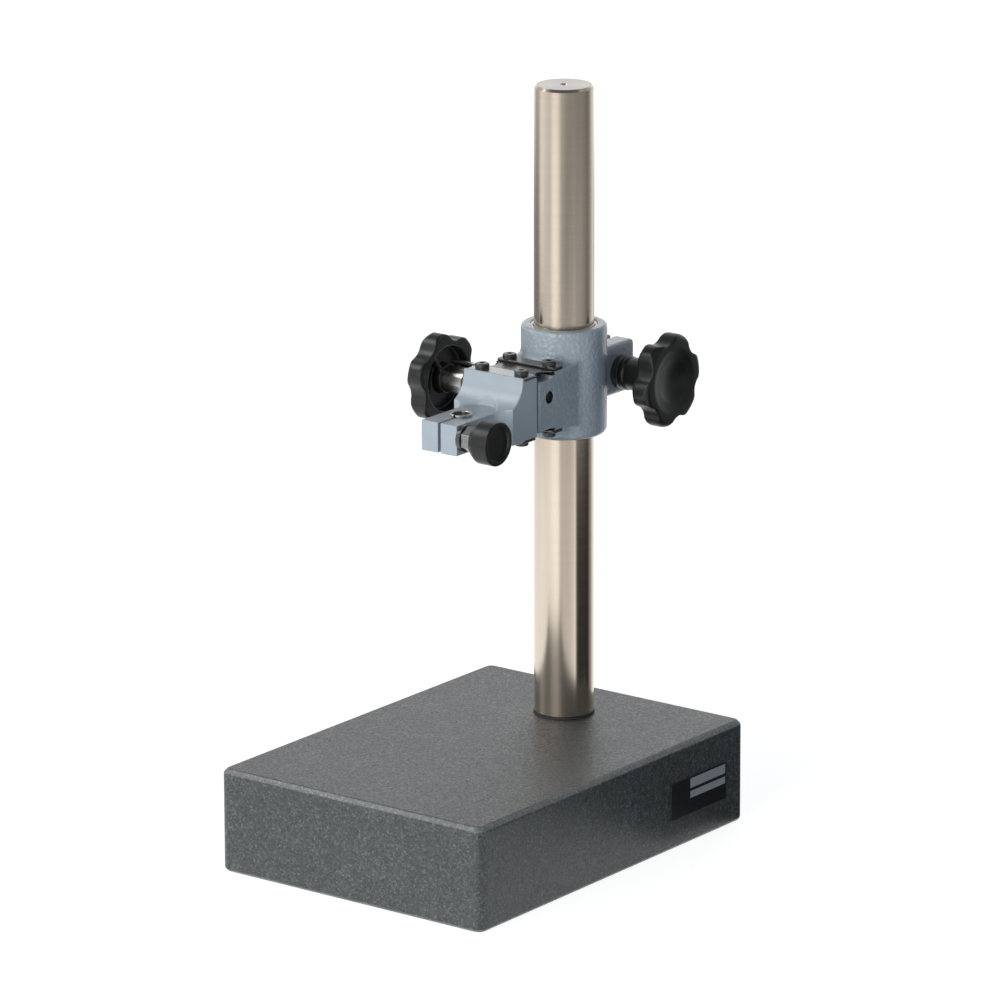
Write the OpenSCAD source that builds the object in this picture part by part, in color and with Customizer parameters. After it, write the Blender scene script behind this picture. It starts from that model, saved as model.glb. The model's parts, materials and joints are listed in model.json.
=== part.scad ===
// Granite comparator stand: a stone base, a ground column, and a clamped bracket that carries
// an indicator arm on two parallel leaf springs with an eccentric fine adjustment.
// Millimetres. The origin is the middle of the base's underside, +Z is up, -Y is the front.

/* [Base] */
// Width of the granite base, left to right
base_w = 150; // [130:1:200]
// Depth of the granite base, front to back
base_d = 205; // [195:1:260]
// Height of the granite base
base_h = 49.5; // [44:0.5:70]
// Radius of the base's upright corners
base_corner_r = 5; // [3:0.5:10]
// Chamfer round the top edge
base_top_chamfer = 2; // [0.5:0.25:2.5]
// Chamfer round the bottom edge
base_foot_chamfer = 1.5; // [0.5:0.25:2.5]

/* [Column] */
// Diameter of the column
column_d = 28; // [24:0.5:30]
// Height of the column above the granite
column_h = 300.5; // [250:0.5:400]
// Distance of the column's axis from the base's back face
column_inset = 41; // [39:0.5:46]
// Chamfer at the column's top
column_chamfer = 1.2; // [0.4:0.2:2]
// Diameter of the centre hole in the column's top
centre_hole_d = 4; // [2:0.5:6]
// Diameter of the bolt that holds the column down
column_bolt_d = 12; // [8:1:14]
// Thickness of stone left above the underside recess for the bolt's head
bolt_land_h = 27.5; // [24:0.5:30]
// Thickness of the washer ring under the column
foot_washer_t = 0.8; // [0.5:0.1:2]

/* [Side plate] */
// Length of the plain black plate on the right side
plate_l = 44; // [30:1:60]
// Height of the plate
plate_h = 18; // [10:0.5:24]
// Thickness of the plate
plate_t = 0.4; // [0.3:0.1:1]
// Distance of the plate's middle from the base's back face
plate_inset = 37.5; // [35:0.5:50]
// Height of the plate's middle above the table
plate_z = 23.5; // [20:0.5:28]

/* [Bracket] */
// Height of the middle of the bracket's sleeve above the granite
sleeve_mid_h = 162.2; // [110:0.1:220]
// Height of the sleeve
sleeve_h = 52; // [46:1:60]
// Outside diameter of the sleeve
sleeve_d = 40; // [38:0.5:44]
// Wall of the split liner bush between sleeve and column
liner_wall = 1.4; // [1:0.1:1.6]
// Width of the bracket's front block, the arm and the clamp plates
block_w = 33.7; // [32:0.1:36]
// Thickness of the pair of clamping ears
ears_w = 25.5; // [22:0.5:27]
// Reach of the ears behind the column's axis
ears_reach = 39; // [37:0.5:43]
// Height of the ears
ears_h = 24; // [20:0.5:28]
// Width of the clamping slit
slit_w = 3; // [2:0.25:4]
// Distance of the clamp screw behind the column's axis
clamp_reach = 26.5; // [25.5:0.25:28]
// Diameter of the clamp screw
clamp_screw_d = 8; // [6:0.5:10]

/* [Leaf springs] */
// Thickness of a leaf
leaf_t = 0.5; // [0.3:0.05:0.8]
// Distance between the seats of the two leaves
leaf_spacing = 27.8; // [27:0.1:29]
// Thickness of the front clamp plates
front_clamp_t = 1; // [0.8:0.1:2]
// Thickness of the rear clamp bars
rear_clamp_t = 1.2; // [0.8:0.1:2]
// Depth of the waist that frees each side of a leaf
leaf_waist = 4; // [2:0.25:5]
// Distance between the two screws of a pair
screw_pitch = 22.4; // [20:0.1:24]
// Diameter of the spring screws
screw_d = 3.5; // [2.5:0.1:4]
// Diameter of a spring screw's head
screw_head_d = 6.6; // [5.5:0.1:7.2]
// Height of a spring screw's head
screw_head_h = 2.4; // [1.5:0.1:3]

/* [Fine adjustment] */
// Diameter of the fine adjustment shaft
shaft_d = 7; // [6.6:0.1:8]
// Diameter of the eccentric journal
eccentric_d = 5.6; // [5:0.1:5.7]
// Throw of the eccentric journal
eccentric_throw = 0.58; // [0.3:0.01:0.6]
// Diameter of the shaft's far journal
far_journal_d = 5.4; // [4.5:0.1:5.4]
// Diameter of the pin that stops the knob
stop_pin_d = 1.6; // [1:0.1:2]
// Reach of the bearing boss beside the block
shaft_boss_l = 11; // [6:0.5:14]

/* [Indicator arm] */
// Depth of the arm's block from its lower front face to its back
arm_block_l = 18.5; // [17:0.1:20]
// Gap between the arm and the bracket's block
arm_gap = 1.5; // [1:0.1:2]
// Width of the stem clamp boss
boss_w = 20; // [18:0.5:24]
// Height of the stem clamp boss
boss_h = 14.2; // [12:0.1:16]
// Reach of the boss in front of the arm's lower front face
boss_l = 33.2; // [31:0.1:36]
// Diameter of the bore that holds an indicator's stem
stem_bore_d = 8; // [6:0.5:8.5]
// Outside diameter of the stem bush
stem_bush_d = 9.53; // [9.5:0.01:11]
// Diameter of the bush's raised rim
stem_rim_d = 10.4; // [10.2:0.1:12]
// Height of the bush's rim above the boss
stem_rim_h = 1.3; // [0.8:0.1:2]
// Distance of the stem's axis in front of the arm's lower front face
stem_reach = 16.7; // [15:0.1:18]
// Width of the slot that lets the boss close on the bush
stem_slot_w = 1.6; // [1:0.1:2.5]
// Diameter of the stem clamp screw
stem_screw_d = 4; // [3:0.1:4.2]

/* [Knobs] */
// Number of lobes round a star knob
lobes = 6; // [5:1:7]
// Diameter over the lobes of a star knob
star_d = 44; // [43:0.5:46]
// Diameter at the bottom of the hollows between the lobes
star_valley_d = 36; // [35:0.5:37]
// Thickness of a star knob's rim
star_t = 9; // [8:0.25:11]
// Diameter of the stem clamp knob
stem_knob_d = 20.2; // [18:0.2:22]
// Length of the stem clamp knob
stem_knob_l = 11.4; // [10:0.2:14]

/* [Hidden] */
$fn = 72;

// Radial clearance of every shaft, screw and bush in its bore
fit = 0.05;
// Clearance of the eccentric in the arm's slot, which lets it follow a straight lift
eccentric_fit = 0.08;
// Clearance between faces of different bodies that turn or slide past each other
face_gap = 0.3;
// Overshoot of a cutter past the face that it cuts
over = 1;

// Colours
granite_grey = [0.36, 0.38, 0.38];
paint_blue_grey = [0.55, 0.62, 0.69];
bare_steel = [0.76, 0.72, 0.66];
spring_steel = [0.62, 0.61, 0.58];
black_steel = [0.09, 0.09, 0.10];
black_plastic = [0.06, 0.06, 0.06];
bearing_brass = [0.72, 0.58, 0.32];

// Heights and places along the column
column_y = base_d / 2 - column_inset;
column_z = base_h + foot_washer_t;
column_top_z = base_h + column_h;
sleeve_z0 = base_h + sleeve_mid_h - sleeve_h / 2;
sleeve_z1 = sleeve_z0 + sleeve_h;
mid_z = base_h + sleeve_mid_h;
sleeve_r = sleeve_d / 2;
liner_r0 = column_d / 2 + fit;
liner_r1 = liner_r0 + liner_wall;
liner_inset = 0.5;
liner_slit_w = 1.5;

// Places of the side plate, and the column's foot
plate_y = base_d / 2 - plate_inset;
foot_chamfer = 0.5;
bolt_recess_h = base_h - bolt_land_h;
bolt_head_d = column_bolt_d * 1.5;
bolt_head_h = column_bolt_d;
bolt_socket_d = column_bolt_d * 0.9;
bolt_grip_l = 24;
bolt_end_gap = 2;
bolt_washer_rim = 2.5;
bolt_washer_d = bolt_head_d + 2 * bolt_washer_rim;
bolt_washer_t = 2.5;
bolt_recess_play = 1.5;
bolt_recess_d = bolt_washer_d + 2 * bolt_recess_play;
bolt_hole_play = 0.75;
foot_washer_rim = 0.4;
foot_washer_d = column_d + 2 * foot_washer_rim;

// Front block of the bracket, and the arm in front of it
block_reach = 42;
low_step_l = 8.2;
step_ramp_l = 3.8;
seat_h = 11.1;
top_step_h = 2.8;
bottom_step_h = 1.5;
block_front_y = column_y - block_reach;
low_step_y = block_front_y + low_step_l;
seat_front_y = low_step_y + step_ramp_l;
arm_back_y = block_front_y - arm_gap;
arm_face_y = arm_back_y - arm_block_l;
seat_top_z = mid_z + seat_h;
seat_bottom_z = seat_top_z - leaf_spacing;
block_low_top_z = seat_top_z - top_step_h;
block_low_bottom_z = seat_bottom_z + bottom_step_h;
shoulder_fillet_r = 3;
side_fillet_r = 10;
ear_fillet_r = 4;
ear_round_r = 3;
ear_drop = 11.9;
ear_z0 = mid_z - ear_drop;
sleeve_top_round = 1.5;
sleeve_foot_round = 3;
spot_face_play = 0.5;

// Arm
arm_ridge_h = 1.9;
arm_top_z = seat_top_z + arm_ridge_h;
arm_bottom_z = seat_bottom_z - leaf_t;
front_seat_l = 9.6;
ridge_w = 1.2;
front_seat_y = arm_back_y - front_seat_l;
ridge_front_y = front_seat_y - ridge_w;
boss_drop = 1.7;
boss_top_z = mid_z - boss_drop;
boss_bottom_z = boss_top_z - boss_h;
boss_front_y = arm_face_y - boss_l;
sweep_r = 14;
sweep_y = ridge_front_y - sweep_r;
sweep_z = boss_top_z + sweep_r;
boss_fillet_r = (block_w - boss_w) / 2;
pocket_r = 9;
pocket_reach = 12.5;
pocket_y = ridge_front_y - pocket_reach;
stem_y = arm_face_y - stem_reach;
stem_screw_inset = 5.1;
stem_screw_h = 7.8;
stem_screw_y = boss_front_y + stem_screw_inset;
stem_screw_z = boss_bottom_z + stem_screw_h;
stem_screw_play = 0.2;

// Leaf springs and their screws
leaf_margin = 0.85;
clamp_margin = 0.35;
leaf_w = block_w - 2 * leaf_margin;
clamp_w = block_w - 2 * clamp_margin;
clamp_corner = 1;
clamp_bevel = 0.3;
rear_seat_l = 7;
front_screw_inset = 4.4;
rear_screw_inset = 3.1;
front_screw_y = arm_back_y - front_screw_inset;
rear_screw_y = seat_front_y + rear_screw_inset;
screw_l = 7;
screw_socket_d = screw_d * 0.8;
screw_socket_h = 1.2;
screw_dome = 0.7;
waist_gap = 0.5;

// Fine adjustment: the shaft crosses the block, its eccentric runs in the arm's tongue
shaft_inset = 8.4;
shaft_drop = 0.2;
shaft_y = block_front_y + shaft_inset;
shaft_z = mid_z - shaft_drop;
cavity_w = 17;
cavity_drop = 9.2;
cavity_depth = 14.5;
cavity_z0 = mid_z - cavity_drop;
cavity_back_y = block_front_y + cavity_depth;
tongue_w = 15;
tongue_h = 12;
tongue_end_gap = 1;
tongue_back_y = cavity_back_y - tongue_end_gap;
shaft_bush_wall = 1.5;
shaft_boss_wall = 2.5;
shaft_flange_t = 1.5;
shaft_bush_d = shaft_d + 2 * shaft_bush_wall;
shaft_boss_d = shaft_bush_d + 2 * shaft_boss_wall;
shaft_flange_d = shaft_bush_d + 2 * shaft_flange_t;
shaft_collar_rim = 3;
shaft_collar_d = shaft_d + 2 * shaft_collar_rim;
boss_end_x = -block_w / 2 - shaft_boss_l;
clip_t = 0.6;
clip_play = 0.1;
clip_rim = 1.3;
clip_groove_h = 0.6;
clip_d = shaft_d + 2 * clip_rim;
clip_groove_d = shaft_d - 2 * clip_groove_h;
clip_x0 = -cavity_w / 2 + clip_play + fit;
clip_mouth = 4;
neck_gap = 0.15;
far_journal_inset = 3;
far_journal_end_x = block_w / 2 - far_journal_inset;

// Knobs
clamp_y = column_y + clamp_reach;
clamp_drop = 0.9;
clamp_z = mid_z - clamp_drop;
clamp_screw_play = 0.4;
clamp_screw_inset = 1;
star_lobe_r = 7.2;
star_hub_r = 8.8;
star_rear_round = 1.6;
star_front_round = 3;
clamp_star_angle = 41;
fine_star_angle = 47;
clamp_washer_d = 15.4;
clamp_washer_t = 3.6;
clamp_hub_l = 18.2;
clamp_hub_x = ears_w / 2 + clamp_washer_t + face_gap;
clamp_star_x = clamp_hub_x + clamp_hub_l;
clamp_neck_l = 2.4;
clamp_neck_rim = 0.4;
clamp_neck_bevel = 0.6;
clamp_waist_r = 7.6;
clamp_waist_l = 0.8;
fine_star_gap = 13.6;
fine_star_x = boss_end_x - fine_star_gap;
fine_hub_r = 7;
star_recess_r = 15.4;
star_recess_h = 5;
dish_r = 15.4;
dish_h = 1.9;
inner_dish_r = 7.5;
inner_dish_h = 0.9;
stop_pin_r = 9;
stop_pin_angle = 55;
stop_rib_angle = 75;
stop_rib_w = 2;
stop_rib_drop = 0.6;
stop_rib_root = 0.5;
stop_pin_seat = 3.2;
stop_pin_reach = 2.5;
shaft_knob_gap = 0.3;

// Stem clamp
stem_washer_d = 12.4;
stem_washer_t = 2.2;
stem_hex_af = 10.5;
stem_hex_l = 6.2;
stem_hex_x = boss_w / 2 + stem_washer_t + face_gap;
stem_knob_x = stem_hex_x + stem_hex_l;
stem_spigot_d = 6;
stem_spigot_l = 7;
stem_screw_end_inset = 0.5;
stem_knob_taper = 3;
stem_knob_shoulder = 2;
stem_knob_rim = 2;
stem_knob_soft = 0.6;
stem_knob_recess = 1.2;
stem_knob_recess_draft = 0.5;
stem_rim_bevel = 0.35;

// A box between two opposite corners
module box(low, high) {
    translate(low) cube(high - low);
}

// A profile drawn in Y and Z, extruded along X about the middle plane
module along_x(width) {
    rotate([90, 0, 90]) linear_extrude(width, center = true) children();
}

// A round bar along X
module bar_x(x0, x1, diameter, y, z) {
    translate([x0, y, z]) rotate([0, 90, 0]) cylinder(h = x1 - x0, d = diameter);
}

// Points of an arc about a centre
function arc(centre, radius, from, to, steps = 8) =
    [for (i = [0:steps]) let (a = from + (to - from) * i / steps)
        centre + radius * [cos(a), sin(a)]];

// A slab with rounded upright corners and a chamfer round its bottom and top
module chamfered_slab(width, depth, height, corner, foot, top) {
    function edge(half) = [
        [-half + foot, 0], [half - foot, 0], [half, foot], [half, height - top],
        [half - top, height], [-half + top, height], [-half, height - top], [-half, foot]
    ];
    rotate([90, 0, 0])
        linear_extrude(depth - 2 * corner, center = true) polygon(edge(width / 2));
    rotate([90, 0, 90])
        linear_extrude(width - 2 * corner, center = true) polygon(edge(depth / 2));
    for (sx = [-1, 1], sy = [-1, 1])
        translate([sx * (width / 2 - corner), sy * (depth / 2 - corner), 0])
            rotate_extrude()
                polygon([
                    [0, 0], [corner - foot, 0], [corner, foot],
                    [corner, height - top], [corner - top, height], [0, height]
                ]);
}

// A bar along Y whose long edges and rear upright edges are rounded
module rounded_lug(half_w, y0, y1, z0, z1, r) {
    intersection() {
        union() {
            box([-half_w + r, y0, z0], [half_w - r, y1, z1]);
            box([-half_w, y0, z0 + r], [half_w, y1, z1 - r]);
            for (sx = [-1, 1], z = [z0 + r, z1 - r])
                translate([sx * (half_w - r), y0, z])
                    rotate([-90, 0, 0]) cylinder(h = y1 - y0, r = r);
        }
        union() {
            box([-half_w, y0, z0], [half_w, y1 - r, z1]);
            box([-half_w + r, y0, z0], [half_w - r, y1, z1]);
            for (sx = [-1, 1])
                translate([sx * (half_w - r), y1 - r, z0]) cylinder(h = z1 - z0, r = r);
        }
    }
}

// The web of metal that rounds the inside corner between a flat side and the round sleeve
module sleeve_side_fillet(half_w, r, z0, z1) {
    reach = half_w + r;
    dy = sqrt(pow(sleeve_r + r, 2) - pow(reach, 2));
    touch = sleeve_r / (sleeve_r + r);
    for (sx = [-1, 1])
        difference() {
            translate([0, 0, z0]) linear_extrude(z1 - z0)
                polygon([
                    [0, 0], [sx * (half_w - over), dy], [sx * half_w, dy],
                    [sx * reach, dy], [sx * reach * touch, dy * touch]
                ]);
            translate([sx * reach, dy, z0 - over]) cylinder(h = z1 - z0 + 2 * over, r = r);
        }
}

// A screw with a domed cheese head and a hexagon socket, head upward, seat at z = 0
module spring_screw() {
    difference() {
        union() {
            rotate_extrude()
                polygon(concat(
                    [[0, 0], [screw_head_d / 2, 0]],
                    arc([screw_head_d / 2 - screw_dome, screw_head_h - screw_dome],
                        screw_dome, 0, 90, 5),
                    [[0, screw_head_h]]
                ));
            translate([0, 0, -screw_l]) cylinder(h = screw_l + over / 2, d = screw_d);
        }
        translate([0, 0, screw_head_h - screw_socket_h])
            cylinder(h = screw_socket_h + over, d = screw_socket_d, $fn = 6);
    }
}

// A pair of spring screws: side is 1 on top of the spring stack and -1 under it
module screw_pair(y, seat_z, side) {
    for (sx = [-1, 1])
        translate([sx * screw_pitch / 2, y, seat_z])
            rotate([side > 0 ? 0 : 180, 0, 0]) spring_screw();
}

// Holes for a pair of spring screws, cut into the metal from a seat
module screw_pair_holes(y, seat_z, side, depth) {
    for (sx = [-1, 1])
        translate([sx * screw_pitch / 2, y, seat_z - (side > 0 ? depth : over)])
            cylinder(h = depth + over, d = screw_d + 2 * fit);
}

// A leaf spring: wide at its clamped ends and waisted on both sides between them
module leaf(z0) {
    free_y0 = arm_back_y + waist_gap;
    free_y1 = seat_front_y - waist_gap;
    waist_r = (free_y1 - free_y0) / 2;
    difference() {
        box([-leaf_w / 2, front_seat_y, z0],
            [leaf_w / 2, seat_front_y + rear_seat_l, z0 + leaf_t]);
        for (sx = [-1, 1])
            translate([sx * (leaf_w / 2 + waist_r - leaf_waist), (free_y0 + free_y1) / 2, z0 - over])
                cylinder(h = leaf_t + 2 * over, r = waist_r);
        for (y = [front_screw_y, rear_screw_y])
            screw_pair_holes(y, z0, 1, over);
        for (y = [front_screw_y, rear_screw_y])
            screw_pair_holes(y, z0 + leaf_t, 1, leaf_t);
    }
}

// A flat plate that clamps one end of a leaf
module clamp_plate(y0, y1, z0, thickness, screw_y) {
    difference() {
        translate([0, (y0 + y1) / 2, z0])
            chamfered_slab(clamp_w, y1 - y0, thickness, clamp_corner, clamp_bevel, clamp_bevel);
        screw_pair_holes(screw_y, z0 + thickness, 1, thickness + over);
    }
}

// The outline body of a star knob, rear face at z = 0: round lobes joined by round hollows
module star_body() {
    a = star_d / 2 - star_lobe_r;
    v = star_valley_d / 2;
    c = cos(180 / lobes);
    hollow_r = (a * a + v * v - 2 * a * v * c - pow(star_lobe_r, 2))
        / (2 * star_lobe_r - 2 * v + 2 * a * c);
    b = v + hollow_r;
    step = 360 / lobes;
    difference() {
        union() {
            linear_extrude(star_t)
                polygon([for (i = [0:2 * lobes - 1])
                    (i % 2 == 0 ? a : b) * [cos(i * step / 2), sin(i * step / 2)]]);
            for (i = [0:lobes - 1])
                rotate([0, 0, i * step]) translate([a, 0, 0]) cylinder(h = star_t, r = star_lobe_r);
        }
        for (i = [0:lobes - 1])
            rotate([0, 0, (i + 0.5) * step])
                translate([b, 0, -over]) cylinder(h = star_t + 2 * over, r = hollow_r);
    }
}

// A star knob with a crowned rim, a dished front face and a hollow back round its hub
module star_knob(hub_r, angle) {
    r = star_d / 2;
    rear = star_rear_round;
    front = star_front_round;
    dish_ball = (dish_r * dish_r + dish_h * dish_h) / (2 * dish_h);
    inner_ball = (inner_dish_r * inner_dish_r + inner_dish_h * inner_dish_h) / (2 * inner_dish_h);
    difference() {
        intersection() {
            rotate([0, 0, angle]) star_body();
            rotate_extrude()
                polygon(concat(
                    [[0, 0]],
                    arc([r - rear, rear], rear, -90, 0, 5),
                    arc([r - front, star_t - front], front, 0, 90, 7),
                    [[0, star_t]]
                ));
        }
        translate([0, 0, star_t - dish_h + dish_ball]) sphere(r = dish_ball, $fn = 180);
        translate([0, 0, star_t - dish_h - inner_dish_h + inner_ball])
            sphere(r = inner_ball, $fn = 120);
        difference() {
            translate([0, 0, -over]) cylinder(h = star_recess_h + over, r = star_recess_r);
            translate([0, 0, -2 * over]) cylinder(h = star_recess_h + 3 * over, r = hub_r);
        }
    }
}

module granite_base() {
    color(granite_grey)
        difference() {
            chamfered_slab(base_w, base_d, base_h, base_corner_r, base_foot_chamfer,
                base_top_chamfer);
            translate([0, column_y, -over])
                cylinder(h = base_h + 2 * over, d = column_bolt_d + 2 * bolt_hole_play);
            translate([0, column_y, -over]) cylinder(h = bolt_recess_h + over, d = bolt_recess_d);
        }
}

module side_plate() {
    color(black_steel)
        box([base_w / 2, plate_y - plate_l / 2, plate_z - plate_h / 2],
            [base_w / 2 + plate_t, plate_y + plate_l / 2, plate_z + plate_h / 2]);
}

module column() {
    r = column_d / 2;
    hole = centre_hole_d / 2;
    color(bare_steel)
        translate([0, column_y, 0])
            difference() {
                rotate_extrude()
                    polygon([
                        [0, column_z], [r - foot_chamfer, column_z], [r, column_z + foot_chamfer],
                        [r, column_top_z - column_chamfer], [r - column_chamfer, column_top_z],
                        [hole, column_top_z], [hole / 3, column_top_z - hole],
                        [hole / 3, column_top_z - 2 * hole], [0, column_top_z - 2 * hole]
                    ]);
                translate([0, 0, column_z - over])
                    cylinder(h = bolt_grip_l + over, d = column_bolt_d + 2 * fit);
            }
}

module foot_washer() {
    color(black_steel)
        translate([0, column_y, base_h])
            difference() {
                cylinder(h = foot_washer_t, d = foot_washer_d);
                translate([0, 0, -over])
                    cylinder(h = foot_washer_t + 2 * over, d = column_bolt_d + 2 * bolt_hole_play);
            }
}

module column_bolt() {
    head_z1 = bolt_recess_h - bolt_washer_t;
    head_z0 = head_z1 - bolt_head_h;
    color(black_steel)
        translate([0, column_y, 0])
            difference() {
                union() {
                    translate([0, 0, head_z0]) cylinder(h = bolt_head_h, d = bolt_head_d);
                    translate([0, 0, head_z1 - over])
                        cylinder(h = column_z + bolt_grip_l - bolt_end_gap - head_z1 + over,
                            d = column_bolt_d);
                }
                translate([0, 0, head_z0 - over])
                    cylinder(h = bolt_head_h / 2 + over, d = bolt_socket_d, $fn = 6);
            }
}

module bolt_washer() {
    color(spring_steel)
        translate([0, column_y, bolt_recess_h - bolt_washer_t])
            difference() {
                cylinder(h = bolt_washer_t, d = bolt_washer_d);
                translate([0, 0, -over])
                    cylinder(h = bolt_washer_t + 2 * over, d = column_bolt_d + 2 * fit);
            }
}

// Split bush in the sleeve: its bore slides and turns on the column
module column_liner() {
    mouth = 0.9;
    z0 = sleeve_z0 + liner_inset;
    z1 = sleeve_z1 - liner_inset;
    color(spring_steel)
        translate([0, column_y, 0])
            difference() {
                rotate_extrude()
                    polygon([
                        [liner_r0 + mouth, z0], [liner_r1, z0], [liner_r1, z1],
                        [liner_r0 + mouth, z1], [liner_r0, z1 - mouth], [liner_r0, z0 + mouth]
                    ]);
                box([-liner_slit_w / 2, 0, z0 - over], [liner_slit_w / 2, sleeve_r, z1 + over]);
            }
}

// Profile of the bracket's front block seen from the side, with low steps under the leaves
module block_profile() {
    polygon([
        [block_front_y, block_low_bottom_z], [seat_front_y - bottom_step_h, block_low_bottom_z],
        [seat_front_y, seat_bottom_z], [column_y, seat_bottom_z], [column_y, seat_top_z],
        [seat_front_y + waist_gap, seat_top_z], [low_step_y, block_low_top_z],
        [block_front_y, block_low_top_z]
    ]);
}

module column_bracket() {
    r = sleeve_r;
    side_z0 = seat_bottom_z;
    side_z1 = seat_top_z;
    color(paint_blue_grey)
        difference() {
            union() {
                translate([0, column_y, 0]) {
                    rotate_extrude()
                        polygon(concat(
                            [[0, sleeve_z0]],
                            arc([r - sleeve_foot_round, sleeve_z0 + sleeve_foot_round],
                                sleeve_foot_round, -90, 0),
                            arc([r - sleeve_top_round, sleeve_z1 - sleeve_top_round],
                                sleeve_top_round, 0, 90),
                            [[0, sleeve_z1]]
                        ));
                    mirror([0, 1, 0])
                        sleeve_side_fillet(block_w / 2, side_fillet_r, side_z0, side_z1);
                    sleeve_side_fillet(ears_w / 2, ear_fillet_r, ear_z0 + ear_round_r,
                        ear_z0 + ears_h - ear_round_r);
                    // Shoulder fillets above and below the block, round the front of the sleeve
                    intersection() {
                        rotate_extrude()
                            polygon(concat(
                                [[r - over, side_z0]],
                                arc([r + shoulder_fillet_r, side_z0 - shoulder_fillet_r],
                                    shoulder_fillet_r, 180, 90),
                                arc([r + shoulder_fillet_r, side_z1 + shoulder_fillet_r],
                                    shoulder_fillet_r, 270, 180),
                                [[r - over, side_z1]]
                            ));
                        box([-block_w / 2, -2 * r, sleeve_z0], [block_w / 2, 0, sleeve_z1]);
                    }
                }
                along_x(block_w) block_profile();
                rounded_lug(ears_w / 2, column_y, column_y + ears_reach, ear_z0,
                    ear_z0 + ears_h, ear_round_r);
                bar_x(boss_end_x, 0, shaft_boss_d, shaft_y, shaft_z);
            }
            // Bore for the liner, with a light countersink at its mouth
            translate([0, column_y, sleeve_z0 - over])
                cylinder(h = sleeve_h + 2 * over, r = liner_r1 + fit);
            // Clamping slit
            box([-slit_w / 2, column_y, sleeve_z0 - over],
                [slit_w / 2, column_y + ears_reach + over, sleeve_z1 + over]);
            // Cavity for the arm's tongue, open to the front and to the top
            box([-cavity_w / 2, block_front_y - over, cavity_z0],
                [cavity_w / 2, cavity_back_y, seat_top_z + over]);
            // Bore for the shaft bush on the left, and for the far journal on the right
            bar_x(boss_end_x - over, 0, shaft_bush_d + 2 * fit, shaft_y, shaft_z);
            bar_x(0, block_w / 2 + over, far_journal_d + 2 * fit, shaft_y, shaft_z);
            // Clamp screw: clearance and a spot face on the right ear, tapped in the left ear
            bar_x(0, ears_w, clamp_screw_d + 2 * clamp_screw_play, clamp_y, clamp_z);
            bar_x(ears_w / 2, ears_w, clamp_washer_d + 2 * spot_face_play, clamp_y, clamp_z);
            bar_x(-ears_w, 0, clamp_screw_d + 2 * fit, clamp_y, clamp_z);
            screw_pair_holes(rear_screw_y, seat_top_z, 1, screw_l);
            screw_pair_holes(rear_screw_y, seat_bottom_z, -1, screw_l);
            stop_pin_bar(-block_w / 2 - over, -block_w / 2 + stop_pin_seat, stop_pin_d + 2 * fit);
        }
}

// A bar along X at the stop pin's place beside the shaft
module stop_pin_bar(x0, x1, diameter) {
    bar_x(x0, x1, diameter, shaft_y + stop_pin_r * cos(stop_pin_angle),
        shaft_z + stop_pin_r * sin(stop_pin_angle));
}

module upper_leaf() {
    color(spring_steel) leaf(seat_top_z);
}

module lower_leaf() {
    color(spring_steel) leaf(seat_bottom_z - leaf_t);
}

module upper_rear_clamp() {
    color(black_steel)
        clamp_plate(seat_front_y, seat_front_y + rear_seat_l, seat_top_z + leaf_t, rear_clamp_t,
            rear_screw_y);
}

module lower_rear_clamp() {
    color(black_steel)
        clamp_plate(seat_front_y, seat_front_y + rear_seat_l,
            seat_bottom_z - leaf_t - rear_clamp_t, rear_clamp_t, rear_screw_y);
}

module upper_front_clamp() {
    color(spring_steel)
        clamp_plate(front_seat_y, arm_back_y, seat_top_z + leaf_t, front_clamp_t, front_screw_y);
}

module lower_front_clamp() {
    color(black_steel)
        clamp_plate(front_seat_y, arm_back_y, seat_bottom_z - leaf_t - front_clamp_t,
            front_clamp_t, front_screw_y);
}

module upper_rear_screws() {
    color(black_steel) screw_pair(rear_screw_y, seat_top_z + leaf_t + rear_clamp_t, 1);
}

module lower_rear_screws() {
    color(black_steel) screw_pair(rear_screw_y, seat_bottom_z - leaf_t - rear_clamp_t, -1);
}

module upper_front_screws() {
    color(black_steel) screw_pair(front_screw_y, seat_top_z + leaf_t + front_clamp_t, 1);
}

module lower_front_screws() {
    color(black_steel) screw_pair(front_screw_y, seat_bottom_z - leaf_t - front_clamp_t, -1);
}

// Flanged bearing bush for the shaft
module shaft_bush() {
    color(bearing_brass)
        difference() {
            union() {
                bar_x(boss_end_x, -cavity_w / 2, shaft_bush_d, shaft_y, shaft_z);
                bar_x(boss_end_x - shaft_flange_t, boss_end_x, shaft_flange_d, shaft_y, shaft_z);
            }
            bar_x(boss_end_x - shaft_flange_t - over, 0, shaft_d + 2 * fit, shaft_y, shaft_z);
        }
}

module stop_pin() {
    color(spring_steel)
        stop_pin_bar(fine_star_x - stop_pin_reach, -block_w / 2 + stop_pin_seat, stop_pin_d);
}

module clamp_washer() {
    x0 = ears_w / 2;
    color(black_steel)
        difference() {
            bar_x(x0, x0 + clamp_washer_t, clamp_washer_d, clamp_y, clamp_z);
            bar_x(x0 - over, x0 + clamp_washer_t + over, clamp_screw_d + 2 * clamp_screw_play,
                clamp_y, clamp_z);
        }
}

module clamp_knob() {
    neck_r = clamp_washer_d / 2 + clamp_neck_rim;
    hub_l = clamp_hub_l;
    color(black_plastic)
        translate([clamp_hub_x, clamp_y, clamp_z])
            rotate([0, 90, 0])
                difference() {
                    union() {
                        translate([0, 0, hub_l]) star_knob(star_hub_r, clamp_star_angle);
                        rotate_extrude()
                            polygon([
                                [0, 0], [neck_r - clamp_neck_bevel, 0], [neck_r, clamp_neck_bevel],
                                [neck_r, clamp_neck_l],
                                [clamp_waist_r, clamp_neck_l + clamp_waist_l], [star_hub_r, hub_l],
                                [star_hub_r, hub_l + star_recess_h], [0, hub_l + star_recess_h]
                            ]);
                    }
                    translate([0, 0, -over])
                        cylinder(h = hub_l + over, d = clamp_screw_d + 2 * fit);
                }
}

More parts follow.
